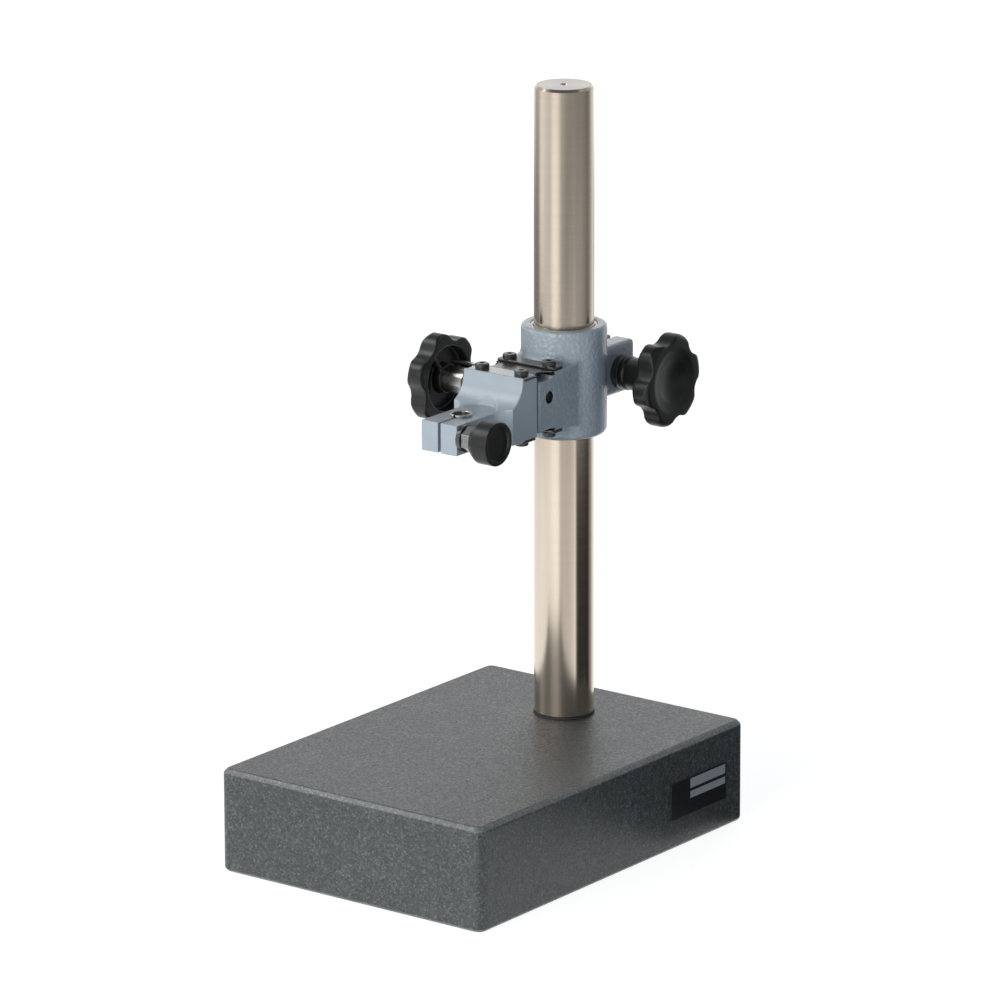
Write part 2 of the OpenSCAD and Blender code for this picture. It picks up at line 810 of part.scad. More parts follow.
module clamp_screw() {
    color(bare_steel)
        bar_x(-ears_w / 2 + clamp_screw_inset, clamp_star_x - clamp_screw_inset, clamp_screw_d,
            clamp_y, clamp_z);
}

module fine_knob() {
    color(black_plastic)
        translate([fine_star_x, shaft_y, shaft_z])
            difference() {
                union() {
                    rotate([0, -90, 0]) star_knob(fine_hub_r, fine_star_angle);
                    // Two ribs in the hollow back that meet the stop pin at the ends of the turn
                    for (side = [-1, 1])
                        rotate([stop_pin_angle + side * stop_rib_angle, 0, 0])
                            box([-star_recess_h - stop_rib_root, fine_hub_r - stop_rib_root,
                                 -stop_rib_w / 2],
                                [-stop_rib_drop, star_recess_r + stop_rib_root, stop_rib_w / 2]);
                }
                translate([over, 0, 0]) rotate([0, -90, 0])
                    cylinder(h = star_recess_h + over, d = shaft_d + 2 * fit);
            }
}

// Shaft with a knob end, a thick collar between knob and bush, a clip groove, the eccentric
// journal and the far journal
module fine_shaft() {
    groove_x0 = clip_x0 - fit;
    neck_x0 = -tongue_w / 2 - neck_gap;
    step_x = tongue_w / 2 + neck_gap;
    color(spring_steel) {
        difference() {
            bar_x(fine_star_x - star_recess_h + shaft_knob_gap, neck_x0, shaft_d, shaft_y, shaft_z);
            difference() {
                bar_x(groove_x0, groove_x0 + clip_t + 2 * fit, shaft_d + over, shaft_y, shaft_z);
                bar_x(groove_x0 - over, groove_x0 + clip_t + over, clip_groove_d, shaft_y, shaft_z);
            }
        }
        bar_x(fine_star_x, boss_end_x - shaft_flange_t - face_gap, shaft_collar_d, shaft_y, shaft_z);
        bar_x(neck_x0, step_x, eccentric_d, shaft_y + eccentric_throw, shaft_z);
        bar_x(step_x, far_journal_end_x, far_journal_d, shaft_y, shaft_z);
    }
}

// Retaining clip that holds the shaft against the inside of the block
module shaft_clip() {
    x1 = clip_x0 + clip_t;
    color(black_steel)
        difference() {
            bar_x(clip_x0, x1, clip_d, shaft_y, shaft_z);
            bar_x(clip_x0 - over, x1 + over, clip_groove_d + 2 * fit, shaft_y, shaft_z);
            box([clip_x0 - over, shaft_y - clip_d, shaft_z - clip_mouth / 2],
                [x1 + over, shaft_y, shaft_z + clip_mouth / 2]);
        }
}

module indicator_arm() {
    top = arm_top_z + over;
    front = boss_front_y - over;
    color(paint_blue_grey)
        difference() {
            union() {
                box([-block_w / 2, arm_face_y, arm_bottom_z], [block_w / 2, arm_back_y, arm_top_z]);
                box([-boss_w / 2, boss_front_y, boss_bottom_z],
                    [boss_w / 2, arm_face_y + over, arm_top_z]);
                // Upright fillets between the boss and the block
                for (sx = [-1, 1])
                    difference() {
                        box([sx > 0 ? boss_w / 2 - over : -block_w / 2,
                             arm_face_y - boss_fillet_r, boss_bottom_z],
                            [sx > 0 ? block_w / 2 : -boss_w / 2 + over,
                             arm_face_y + over, arm_top_z]);
                        translate([sx * block_w / 2, arm_face_y - boss_fillet_r, boss_bottom_z - over])
                            cylinder(h = arm_top_z, r = boss_fillet_r);
                    }
                // Tongue that reaches back over the eccentric
                box([-tongue_w / 2, arm_back_y - over, shaft_z - tongue_h / 2],
                    [tongue_w / 2, tongue_back_y, shaft_z + tongue_h / 2]);
            }
            // Hollow sweep from the ridge down to the top of the boss
            bar_x(-block_w, block_w, 2 * sweep_r, sweep_y, sweep_z);
            box([-block_w, front, sweep_z], [block_w, ridge_front_y, top]);
            box([-block_w, front, boss_top_z], [block_w, sweep_y, top]);
            // Round pocket in the sweep behind the stem
            translate([0, pocket_y, boss_top_z]) cylinder(h = top, r = pocket_r);
            // Seats for the leaves behind the ridge
            box([-block_w, front_seat_y, seat_top_z], [block_w, arm_back_y + over, top]);
            box([-block_w, front_seat_y, arm_bottom_z - over],
                [block_w, arm_back_y + over, seat_bottom_z]);
            // Bore for the stem bush and the slot in front of it
            translate([0, stem_y, boss_bottom_z - over])
                cylinder(h = boss_h + 2 * over, d = stem_bush_d + 2 * fit);
            box([-stem_slot_w / 2, front, boss_bottom_z - over],
                [stem_slot_w / 2, stem_y, boss_top_z + over]);
            // Stem clamp screw: clearance on the right, tapped on the left
            bar_x(0, boss_w, stem_screw_d + 2 * stem_screw_play, stem_screw_y, stem_screw_z);
            bar_x(-boss_w, 0, stem_screw_d + 2 * fit, stem_screw_y, stem_screw_z);
            screw_pair_holes(front_screw_y, seat_top_z, 1, screw_l);
            screw_pair_holes(front_screw_y, seat_bottom_z, -1, screw_l);
            // Slot in the tongue for the eccentric
            for (y = [shaft_y, shaft_y + eccentric_throw])
                bar_x(-tongue_w, tongue_w, eccentric_d + 2 * eccentric_fit, y, shaft_z);
        }
}

// Split bush that closes on the indicator's stem
module stem_bush() {
    bevel = stem_rim_bevel;
    r0 = stem_bore_d / 2;
    r1 = stem_bush_d / 2;
    r2 = stem_rim_d / 2;
    z1 = boss_top_z + stem_rim_h;
    color(bare_steel)
        translate([0, stem_y, 0])
            difference() {
                rotate_extrude()
                    polygon([
                        [r0, boss_bottom_z], [r1, boss_bottom_z], [r1, boss_top_z],
                        [r2, boss_top_z], [r2, z1 - bevel], [r2 - bevel, z1],
                        [r0 + bevel, z1], [r0, z1 - bevel]
                    ]);
                box([-stem_slot_w / 3, -stem_rim_d, boss_bottom_z - over],
                    [stem_slot_w / 3, 0, z1 + over]);
            }
}

module stem_washer() {
    x0 = boss_w / 2;
    color(black_steel)
        difference() {
            bar_x(x0, x0 + stem_washer_t, stem_washer_d, stem_screw_y, stem_screw_z);
            bar_x(x0 - over, x0 + stem_washer_t + over, stem_screw_d + 2 * stem_screw_play,
                stem_screw_y, stem_screw_z);
        }
}

module stem_screw() {
    corner_d = stem_hex_af / cos(30);
    color(bare_steel) {
        bar_x(-boss_w / 2 + stem_screw_end_inset, stem_hex_x, stem_screw_d, stem_screw_y,
            stem_screw_z);
        translate([stem_hex_x, stem_screw_y, stem_screw_z])
            rotate([0, 90, 0]) cylinder(h = stem_hex_l, d = corner_d, $fn = 6);
        bar_x(stem_knob_x, stem_knob_x + stem_spigot_l, stem_spigot_d, stem_screw_y, stem_screw_z);
    }
}

module stem_knob() {
    r = stem_knob_d / 2;
    soft = stem_knob_soft;
    rim_r = r - stem_knob_rim;
    floor_x = stem_knob_l - stem_knob_recess;
    color(black_plastic)
        translate([stem_knob_x, stem_screw_y, stem_screw_z])
            rotate([0, 90, 0])
                difference() {
                    rotate_extrude()
                        polygon(concat(
                            [[0, 0], [r - stem_knob_shoulder, 0], [r, stem_knob_taper]],
                            arc([r - soft, stem_knob_l - soft], soft, 0, 90, 4),
                            [
                                [rim_r, stem_knob_l],
                                [rim_r - stem_knob_recess_draft, floor_x],
                                [0, floor_x]
                            ]
                        ));
                    translate([0, 0, -over])
                        cylinder(h = stem_spigot_l + over, d = stem_spigot_d + 2 * fit);
                }
}

granite_base();
side_plate();
column();
foot_washer();
column_bolt();
bolt_washer();
column_liner();
column_bracket();
upper_leaf();
lower_leaf();
upper_rear_clamp();
lower_rear_clamp();
upper_rear_screws();
lower_rear_screws();
shaft_bush();
stop_pin();
clamp_washer();
clamp_knob();
clamp_screw();
fine_knob();
fine_shaft();
shaft_clip();
indicator_arm();
stem_bush();
upper_front_clamp();
lower_front_clamp();
upper_front_screws();
lower_front_screws();
stem_washer();
stem_knob();
stem_screw();
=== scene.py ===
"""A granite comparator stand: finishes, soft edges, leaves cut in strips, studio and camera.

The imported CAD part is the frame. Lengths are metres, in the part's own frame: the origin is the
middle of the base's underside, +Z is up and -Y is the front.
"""

import json
import math

import bmesh
import bpy
from mathutils import Matrix, Vector


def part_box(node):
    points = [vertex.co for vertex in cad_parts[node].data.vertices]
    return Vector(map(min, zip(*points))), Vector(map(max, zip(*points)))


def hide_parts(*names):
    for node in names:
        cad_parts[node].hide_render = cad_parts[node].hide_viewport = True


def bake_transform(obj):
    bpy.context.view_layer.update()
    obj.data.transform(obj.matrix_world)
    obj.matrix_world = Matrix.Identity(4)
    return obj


MM = 0.001

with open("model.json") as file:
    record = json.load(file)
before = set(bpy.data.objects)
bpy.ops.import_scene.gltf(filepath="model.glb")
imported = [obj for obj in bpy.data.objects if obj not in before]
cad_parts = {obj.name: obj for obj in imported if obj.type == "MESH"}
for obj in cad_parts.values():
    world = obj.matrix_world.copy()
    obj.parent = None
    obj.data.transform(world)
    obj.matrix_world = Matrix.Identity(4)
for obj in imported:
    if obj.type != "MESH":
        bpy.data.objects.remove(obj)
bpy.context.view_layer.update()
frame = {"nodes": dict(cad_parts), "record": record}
nodes = frame["nodes"]

# Camera, fitted to the base's edges in the photograph, whose frame is PHOTO_SIZE pixels wide
PHOTO_SIZE = 1000
CAMERA_AZIMUTH = 37.177
CAMERA_ELEVATION = 15.925
CAMERA_ROLL = -0.186
CAMERA_DISTANCE = 3.076
CAMERA_TARGET = Vector((0, 0, 0.150))
FOCAL_LENGTH_PX = 6706
PRINCIPAL_POINT_PX = (484.329, 534.175)
SENSOR_WIDTH_MM = 36
CLIP_RANGE = (0.1, 40)

# Studio floor: its radius, its own glow, and how white it is under the lamps
FLOOR_RADIUS = 9.0
FLOOR_GLOW = 0.865
FLOOR_WHITE = 0.40

# Fill light from all round at the horizon, and from straight above
FILL_LEVEL = (0.325, 0.370, 0.404)
FILL_ABOVE = (0.100, 0.112, 0.124)

# Lamps: (name, azimuth, elevation, distance, size, watts, colour)
LAMPS = (
    ("key", 4.5, 12, 1.9, 1.0, 27, (1.0, 0.985, 0.96)),
    ("left", -60, 14, 1.8, 0.6, 4, (1.0, 1.0, 1.0)),
    ("back", -152, 16, 2.0, 1.2, 12, (1.0, 1.0, 1.0)),
)

# A round wall of panels that the column and other glossy faces mirror
PANEL_RADIUS = 0.75
PANEL_HEIGHT = 1.50
PANEL_STEPS = 120
PANEL_TINT = (0.985, 0.990, 1.0)
# Its brightness: rows of (height, levels), where the levels are (azimuth round the column, level)
PANEL_ROWS = (
    (0.040, (
        (-180, 0.80), (-143, 0.38), (-88, 0.14), (-76, 0.20), (-59, 0.46), (-38, 0.58), (-19, 0.62),
        (-2, 0.90), (14, 0.70), (27, 0.44), (45, 0.42), (60, 0.47), (76, 0.52), (93, 0.51),
        (112, 0.41), (133, 0.18), (146, 0.22), (159, 0.64), (172, 0.90),
    )),
    (0.125, (
        (-180, 0.80), (-143, 0.42), (-88, 0.26), (-76, 0.36), (-59, 1.10), (-38, 0.82), (-19, 0.66),
        (-2, 0.88), (14, 0.80), (27, 0.46), (45, 0.23), (60, 0.28), (76, 0.35), (93, 0.40),
        (112, 0.35), (133, 0.25), (146, 0.28), (159, 0.48), (172, 0.85),
    )),
    (0.190, (
        (-180, 1.32), (-125, 1.32), (-90, 0.55), (-72, 0.60), (-58, 0.95), (-20, 0.80), (20, 0.55),
        (60, 0.30), (140, 0.20), (165, 0.90),
    )),
    (0.620, (
        (-180, 0.90), (-125, 0.90), (-90, 0.70), (-20, 0.60), (20, 0.45), (60, 0.30), (140, 0.20),
        (165, 0.70),
    )),
    (0.740, (
        (-180, 0.60), (-90, 0.60), (-80, 0.80), (-68, 4.20), (-46, 4.20), (-34, 0.80), (-20, 0.50),
        (60, 0.30), (140, 0.20), (165, 0.50),
    )),
    (1.080, (
        (-180, 0.50), (-90, 0.50), (-80, 0.80), (-68, 4.20), (-46, 4.20), (-34, 0.80), (-20, 0.40),
        (60, 0.25), (140, 0.20), (165, 0.45),
    )),
    (1.200, ((-180, 0.40), (180, 0.40))),
)

# Cards just above the floor, as sectors of a ring: (name, azimuths, radii, levels by azimuth)
CARD_HEIGHT = 0.5 * MM
CARD_STEPS = 24
FLOOR_CARDS = (
    ("dark_card", (80, 176), (0.085, 0.75), (
        (80, 1.00), (86, 0.08), (95, 0.03), (140, 0.03), (152, 0.25), (166, 0.60), (176, 0.95),
    )),
    ("grey_card", (16, 80), (0.22, 0.75), (
        (16, 1.00), (26, 0.70), (62, 0.74), (72, 0.90), (80, 1.05),
    )),
)

# Soft edges: the bevel's width and segments on machined pieces and on the stone, and the angles
# from which an edge counts as sharp and below which faces count as one
MACHINED_EDGE = (0.20 * MM, 2)
STONE_EDGE = (0.70 * MM, 3)
SHARP_ANGLE = math.radians(28)
FLAT_ANGLE = math.radians(0.05)
WELD_DISTANCE = 0.001 * MM
# For each cast or moulded piece, the grid of its skin and how many passes relax it
CAST_PIECES = {
    "column_bracket": (0.55 * MM, 4),
    "indicator_arm": (0.40 * MM, 3),
    "clamp_knob": (0.42 * MM, 7),
    "fine_knob": (0.42 * MM, 7),
}

# Painted shade on the casting, coloured near black: the seats under the leaves (how deep, and how
# far past their top and back edges) and the radius round the far bore
SEAT_DEPTH = 1.4 * MM
SEAT_RISE = 1.0 * MM
EDGE_MARGIN = 0.3 * MM
FAR_BORE = 2.9 * MM

# A half size that reaches past the stand in any direction
ANYWHERE = 1.0

# The side plate's bare fields: their length and distance from its back edge, and for each its
# height and its distance from the plate's top
FIELD_LENGTH = 28.0 * MM
FIELD_INSET = 0.9 * MM
FIELDS = ((4.6 * MM, 0.9 * MM), (3.4 * MM, 7.0 * MM))

# Leaf springs: strips across the free stretch
LEAF_STRIPS = 24


def direction(azimuth, elevation=0.0):
    """The unit vector towards an azimuth, where 0 is the front and 90 the right, in degrees."""
    a = math.radians(azimuth)
    e = math.radians(elevation)
    return Vector((math.sin(a) * math.cos(e), -math.cos(a) * math.cos(e), math.sin(e)))


def link(obj):
    bpy.context.scene.collection.objects.link(obj)
    return obj


def mesh_object(name, bm):
    """A new object from a bmesh, which is freed."""
    mesh = bpy.data.meshes.new(name)
    bm.to_mesh(mesh)
    bm.free()
    return link(bpy.data.objects.new(name, mesh))


def add_node(tree, kind, inputs=None, **settings):
    """A new shader node: each input is linked from a socket or set to a value."""
    node = tree.nodes.new(kind)
    for key, value in settings.items():
        setattr(node, key, value)
    for key, value in (inputs or {}).items():
        if isinstance(value, bpy.types.NodeSocket):
            tree.links.new(value, node.inputs[key])
        else:
            node.inputs[key].default_value = value
    return node


# Camera


def place_camera():
    """The camera of the photograph: its turn, its lens and the shift of its middle."""
    back = direction(CAMERA_AZIMUTH, CAMERA_ELEVATION)
    level_right = direction(CAMERA_AZIMUTH + 90)
    level_up = back.cross(level_right)
    roll = math.radians(CAMERA_ROLL)
    right = math.cos(roll) * level_right + math.sin(roll) * level_up
    up = math.cos(roll) * level_up - math.sin(roll) * level_right
    data = bpy.data.cameras.new("camera")
    data.sensor_width = SENSOR_WIDTH_MM
    data.lens = FOCAL_LENGTH_PX / PHOTO_SIZE * SENSOR_WIDTH_MM
    data.shift_x = 0.5 - PRINCIPAL_POINT_PX[0] / PHOTO_SIZE
    data.shift_y = PRINCIPAL_POINT_PX[1] / PHOTO_SIZE - 0.5
    data.clip_start, data.clip_end = CLIP_RANGE
    camera = link(bpy.data.objects.new("camera", data))
    turn = Matrix((right, up, back)).transposed().to_4x4()
    camera.matrix_world = Matrix.Translation(CAMERA_TARGET + back * CAMERA_DISTANCE) @ turn
    bpy.context.scene.camera = camera


# Materials


class Surface:
    """A Principled material, and the texture nodes that drive it, in object space."""

    def __init__(self, name, colour, roughness, **sockets):
        self.material = bpy.data.materials.new(name)
        self.material.use_nodes = True
        self.tree = self.material.node_tree
        self.shader = self.tree.nodes["Principled BSDF"]
        self.shader.inputs["Base Color"].default_value = (*colour, 1)
        self.shader.inputs["Roughness"].default_value = roughness
        for socket, value in sockets.items():
            self.shader.inputs[socket.replace("_", " ")].default_value = value
        self.place = self.add("ShaderNodeTexCoord").outputs["Object"]

    def add(self, kind, inputs=None, **settings):
        return add_node(self.tree, kind, inputs, **settings)

    def stretched(self, x, y, z):
        """Object coordinates scaled along each axis."""
        return self.vector("MULTIPLY", self.place, (x, y, z))

    def noise(self, scale, detail=3.0, rough=0.5, place=None):
        inputs = {"Scale": scale, "Detail": detail, "Roughness": rough}
        inputs["Vector"] = place or self.place
        return self.add("ShaderNodeTexNoise", inputs).outputs["Fac"]

    def cells(self, scale, feature="F1", smooth=None):
        """Cell texture: the node, whose Distance and Color outputs are both used."""
        inputs = {"Vector": self.place, "Scale": scale}
        if smooth is not None:
            inputs["Smoothness"] = smooth
        return self.add("ShaderNodeTexVoronoi", inputs, feature=feature)

    def ramp(self, value, stops, interpolation="LINEAR"):
        """Colours or grey levels along a value: stops are (position, level or colour)."""
        node = self.add("ShaderNodeValToRGB", {"Fac": value})
        band = node.color_ramp
        band.interpolation = interpolation
        for i, (position, level) in enumerate(stops):
            stop = band.elements[i] if i < 2 else band.elements.new(position)
            stop.position = position
            colour = level if isinstance(level, tuple) else (level, level, level)
            stop.color = (*colour, 1)
        return node.outputs["Color"]

    def mixed(self, factor, a, b, blend="MIX"):
        """Two colours mixed: each is a socket or three levels."""
        inputs = {0: factor}
        for key, colour in ((6, a), (7, b)):
            inputs[key] = (*colour, 1) if isinstance(colour, tuple) else colour
        return self.add("ShaderNodeMix", inputs, data_type="RGBA", blend_type=blend).outputs[2]

    def scalar(self, operation, a, b):
        return self.add("ShaderNodeMath", {0: a, 1: b}, operation=operation).outputs[0]

    def vector(self, operation, a, b=(0, 0, 0)):
        return self.add("ShaderNodeVectorMath", {0: a, 1: b}, operation=operation).outputs[0]

    def spread(self, value, low, high):
        """A texture value from 0 to 1 mapped to the range from low to high."""
        return self.add("ShaderNodeMapRange", {0: value, 3: low, 4: high}).outputs[0]

    def drive(self, socket, value):
        self.tree.links.new(value, self.shader.inputs[socket])

    def bump(self, *layers):
        """Relief: each layer is (height, its depth in metres, strength)."""
        normal = None
        for height, depth, strength in layers:
            inputs = {"Height": height, "Distance": depth, "Strength": strength}
            if normal is not None:
                inputs["Normal"] = normal
            normal = self.add("ShaderNodeBump", inputs).outputs["Normal"]
        self.drive("Normal", normal)


def steepness(s):
    """How much the surface faces straight up or down: 1 on a level face, 0 on an upright one."""
    normal = s.add("ShaderNodeTexCoord").outputs["Normal"]
    return s.scalar("ABSOLUTE", s.add("ShaderNodeSeparateXYZ", {0: normal}).outputs["Z"], 0)


def granite():
    """Fine-grained grey stone: pale feldspar, grey quartz and black mica, lapped satin."""
    s = Surface("granite", (0.07, 0.08, 0.08), 0.42, IOR=1.6)
    fine = s.cells(1350)
    coarse = s.cells(760)
    pick = s.add("ShaderNodeSeparateColor", {0: fine.outputs["Color"]}).outputs
    grain = s.ramp(
        pick[0],
        [
            (0.0, (0.016, 0.020, 0.021)),
            (0.36, (0.040, 0.047, 0.048)),
            (0.76, (0.072, 0.082, 0.083)),
            (0.93, (0.136, 0.154, 0.156)),
            (1.0, (0.205, 0.222, 0.222)),
        ],
    )
    crystals = s.ramp(
        s.add("ShaderNodeSeparateColor", {0: coarse.outputs["Color"]}).outputs[1],
        [
            (0.0, (0.018, 0.021, 0.022)),
            (0.30, (0.050, 0.058, 0.059)),
            (0.90, (0.074, 0.084, 0.085)),
            (1.0, (0.130, 0.142, 0.141)),
        ],
    )
    stone = s.mixed(0.38, grain, crystals)
    cloud = s.ramp(s.noise(30, 4.0, 0.6), [(0.3, 0.74), (0.7, 0.99)])
    stone = s.mixed(1.0, stone, cloud, "MULTIPLY")
    # The chamfers, between level and upright faces, are coloured lighter and bluish grey: a painted
    # highlight along the edges.
    chamfer_faces = s.ramp(steepness(s), [(0.25, 0.0), (0.50, 1.0), (0.85, 1.0), (0.98, 0.0)])
    chamfer_highlight = s.mixed(1.0, stone, (2.4, 2.4, 2.4), "MULTIPLY")
    chamfer_highlight = s.mixed(0.35, chamfer_highlight, (0.250, 0.268, 0.272))
    s.drive("Base Color", s.mixed(chamfer_faces, stone, chamfer_highlight))
    s.drive("Roughness", s.spread(pick[2], 0.30, 0.54))
    s.bump((s.noise(1700, 2.0), 0.00006, 0.5), (fine.outputs["Distance"], 0.00004, 0.35))
    return s.material


def ground_chrome():
    """Hard chromed bar, ground round and round: its marks smear what it mirrors up and down."""
    smear = {"Anisotropic": 0.70, "Anisotropic_Rotation": 0.25}
    s = Surface("ground_chrome", (0.72, 0.635, 0.552), 0.2, Metallic=1.0, **smear)
    lines = s.noise(1.0, 3.0, 0.7, s.stretched(25, 25, 2600))
    streaks = s.noise(1.0, 3.0, 0.6, s.stretched(260, 260, 9))
    smears = s.noise(1.0, 4.0, 0.6, s.stretched(90, 90, 7))
    chrome = s.ramp(lines, [(0.3, (0.700, 0.606, 0.498)), (0.7, (0.750, 0.651, 0.538))])
    shade = s.ramp(streaks, [(0.3, 0.94), (0.7, 1.03)])
    chrome = s.mixed(1.0, chrome, shade, "MULTIPLY")
    end = s.ramp(steepness(s), [(0.80, 0.0), (0.95, 1.0)])
    s.drive("Base Color", s.mixed(end, chrome, (0.47, 0.435, 0.40)))
    satin = s.spread(lines, 0.13, 0.19)
    s.drive("Roughness", s.scalar("ADD", satin, s.spread(smears, -0.03, 0.02)))
    s.bump((lines, 0.000003, 0.25))
    return s.material


def bright_steel():
    """Turned steel with fine tool marks."""
    s = Surface("bright_steel", (0.66, 0.64, 0.60), 0.22, Metallic=1.0)
    marks = s.noise(1.0, 2.0, 0.6, s.stretched(5200, 420, 420))
    s.drive("Base Color", s.ramp(marks, [(0.3, (0.47, 0.465, 0.45)), (0.7, (0.60, 0.59, 0.57))]))
    s.drive("Roughness", s.spread(marks, 0.16, 0.32))
    s.bump((marks, 0.00001, 0.4))
    return s.material


def dull_steel():
    """Steel coloured a darker grey than the bright steel, with tool marks."""
    s = Surface("dull_steel", (0.34, 0.34, 0.33), 0.28, Metallic=1.0)
    marks = s.noise(1.0, 2.0, 0.6, s.stretched(4200, 420, 420))
    s.drive("Base Color", s.ramp(marks, [(0.3, (0.24, 0.245, 0.24)), (0.7, (0.38, 0.38, 0.37))]))
    s.drive("Roughness", s.spread(marks, 0.20, 0.36))
    s.bump((marks, 0.00001, 0.4))
    return s.material


def strip_steel(name, dark, light):
    """Rolled strip with its marks along Y, between two grey levels."""
    s = Surface(name, light, 0.2, Metallic=1.0)
    drawn = s.noise(1.0, 3.0, 0.6, s.stretched(2400, 60, 300))
    s.drive("Base Color", s.ramp(drawn, [(0.3, dark), (0.7, light)]))
    s.drive("Roughness", s.spread(drawn, 0.20, 0.34))
    s.bump((drawn, 0.000006, 0.3))
    return s.material


def black_oxide():
    """Blackened steel, faintly uneven, with a thin film of oil."""
    s = Surface("black_oxide", (0.022, 0.022, 0.025), 0.3, IOR=1.8, Coat_Weight=0.25)
    uneven = s.noise(700, 3.0, 0.6)
    black = s.ramp(uneven, [(0.3, (0.007, 0.007, 0.008)), (0.75, (0.022, 0.022, 0.023))])
    s.drive("Base Color", black)
    s.drive("Roughness", s.spread(uneven, 0.22, 0.42))
    s.bump((s.noise(2600, 2.0), 0.000015, 0.4))
    return s.material


def within(s, centre, half_size):
    """1 inside a box in object space and 0 outside it."""
    offset = s.vector("SUBTRACT", s.place, centre)
    axes = s.add("ShaderNodeSeparateXYZ", {0: s.vector("ABSOLUTE", offset)}).outputs
    inside = None
    for axis, limit in zip(axes, half_size):
        part = s.scalar("LESS_THAN", axis, limit)
        inside = part if inside is None else s.scalar("MULTIPLY", inside, part)
    return inside


def painted_shade_places(s):
    """Painted shade, coloured near black on the casting: under the leaves, and in the far journal's
    bore.
    """
    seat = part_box("upper_leaf")[0].z
    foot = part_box("lower_leaf")[1].z
    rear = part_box("upper_rear_clamp")
    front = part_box("column_bracket")[0].y
    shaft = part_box("fine_shaft")
    middle = (seat + foot) / 2
    half = (seat - foot) / 2
    y = (front + rear[0].y) / 2
    reach = (rear[0].y - front) / 2 + EDGE_MARGIN
    both = within(s, (0, y, middle), (ANYWHERE, reach, half + SEAT_RISE))
    between = within(s, (0, y, middle), (ANYWHERE, ANYWHERE, half - SEAT_DEPTH))
    under = s.scalar("SUBTRACT", both, s.scalar("MINIMUM", both, between))
    axis_y = (shaft[0].y + shaft[1].y) / 2
    axis_z = (shaft[0].z + shaft[1].z) / 2
    across = s.vector("SUBTRACT", s.place, (0, axis_y, axis_z))
    flat = s.vector("MULTIPLY", across, (0, 1, 1))
    away = s.add("ShaderNodeVectorMath", {0: flat}, operation="LENGTH").outputs["Value"]
    return s.scalar("MAXIMUM", under, s.scalar("LESS_THAN", away, FAR_BORE))


def hammered_paint():
    """Blue-grey hammered enamel on a rough casting: small dimples and a wet gloss."""
    s = Surface("hammered_paint", (0.33, 0.385, 0.435), 0.34, Coat_Weight=0.6, Coat_Roughness=0.09)
    dimples = s.cells(600, "SMOOTH_F1", 0.5)
    dents = s.noise(760, 3.0, 0.55)
    lumps = s.noise(130, 2.0, 0.5)
    half_dimples = s.scalar("MULTIPLY", dimples.outputs["Distance"], 0.5)
    tone = s.scalar("ADD", half_dimples, s.scalar("MULTIPLY", dents, 0.5))
    enamel = s.ramp(tone, [(0.25, (0.392, 0.453, 0.508)), (0.62, (0.320, 0.376, 0.428))])
    # The seats under the leaves and the far bore are coloured near black: painted shade.
    s.drive("Base Color", s.mixed(painted_shade_places(s), enamel, (0.012, 0.012, 0.013)))
    s.drive("Roughness", s.spread(dents, 0.26, 0.40))
    s.bump(
        (lumps, 0.0004, 0.35),
        (dimples.outputs["Distance"], 0.00036, 0.65),
        (dents, 0.00016, 0.50),
    )
    return s.material


def smooth_paint():
    """The same enamel on machined faces: satin, with a fine orange peel."""
    s = Surface("smooth_paint", (0.41, 0.47, 0.53), 0.36, Coat_Weight=0.5, Coat_Roughness=0.24)
    peel = s.noise(900, 2.0, 0.5)
    cloud = s.noise(70, 3.0, 0.6)
    enamel = s.ramp(cloud, [(0.3, (0.388, 0.446, 0.500)), (0.7, (0.420, 0.480, 0.536))])
    s.drive("Base Color", enamel)
    s.drive("Roughness", s.spread(s.noise(300, 3.0), 0.30, 0.42))
    s.bump((peel, 0.00006, 0.35))
    return s.material


def black_plastic():
    """Moulded black thermoset with a satin skin."""
    s = Surface("black_plastic", (0.007, 0.008, 0.007), 0.34, IOR=1.5)
    flow = s.noise(130, 4.0, 0.6)
    black = s.ramp(flow, [(0.3, (0.003, 0.004, 0.003)), (0.75, (0.009, 0.011, 0.009))])
    s.drive("Base Color", black)
    s.drive("Roughness", s.spread(s.noise(420, 4.0, 0.6), 0.25, 0.40))
    s.bump((s.noise(1700, 2.0), 0.00003, 0.4), (s.noise(240, 2.0), 0.0001, 0.12))
    return s.material


def rubber():
    """Dull black sealing ring."""
    s = Surface("rubber", (0.018, 0.018, 0.018), 0.7)
    speck = s.noise(1400, 3.0)
    s.drive("Base Color", s.ramp(speck, [(0.3, 0.012), (0.7, 0.028)]))
    s.drive("Roughness", s.spread(speck, 0.6, 0.8))
    s.bump((speck, 0.00003, 0.5))
    return s.material


def plate_fields(s):
    """Two blank fields in the upper half of the side plate, etched through its black layer."""
    low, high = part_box("side_plate")
    fields = None
    for height, drop in FIELDS:
        centre = (high.x, high.y - FIELD_INSET - FIELD_LENGTH / 2, high.z - drop - height / 2)
        field = within(s, centre, (ANYWHERE, FIELD_LENGTH / 2, height / 2))
        fields = field if fields is None else s.scalar("MAXIMUM", fields, field)
    return fields


def anodised_black():
    """Thin black anodised sheet, etched down to brushed aluminium in its fields."""
    s = Surface("anodised_black", (0.012, 0.012, 0.014), 0.38, IOR=1.5)
    grain = s.noise(1.0, 2.0, 0.6, s.stretched(800, 300, 2600))
    brushed = s.noise(1.0, 3.0, 0.6, s.stretched(500, 160, 5200))
    black = s.ramp(grain, [(0.3, (0.004, 0.005, 0.006)), (0.7, (0.010, 0.011, 0.013))])
    silver = s.ramp(brushed, [(0.3, (0.34, 0.37, 0.39)), (0.7, (0.50, 0.53, 0.555))])
    fields = plate_fields(s)
    s.drive("Base Color", s.mixed(fields, black, silver))
    s.drive("Metallic", s.spread(fields, 0.0, 0.35))
    s.drive("Roughness", s.spread(grain, 0.36, 0.50))
    s.bump((fields, 0.00002, 0.5), (grain, 0.00001, 0.4))
    return s.material


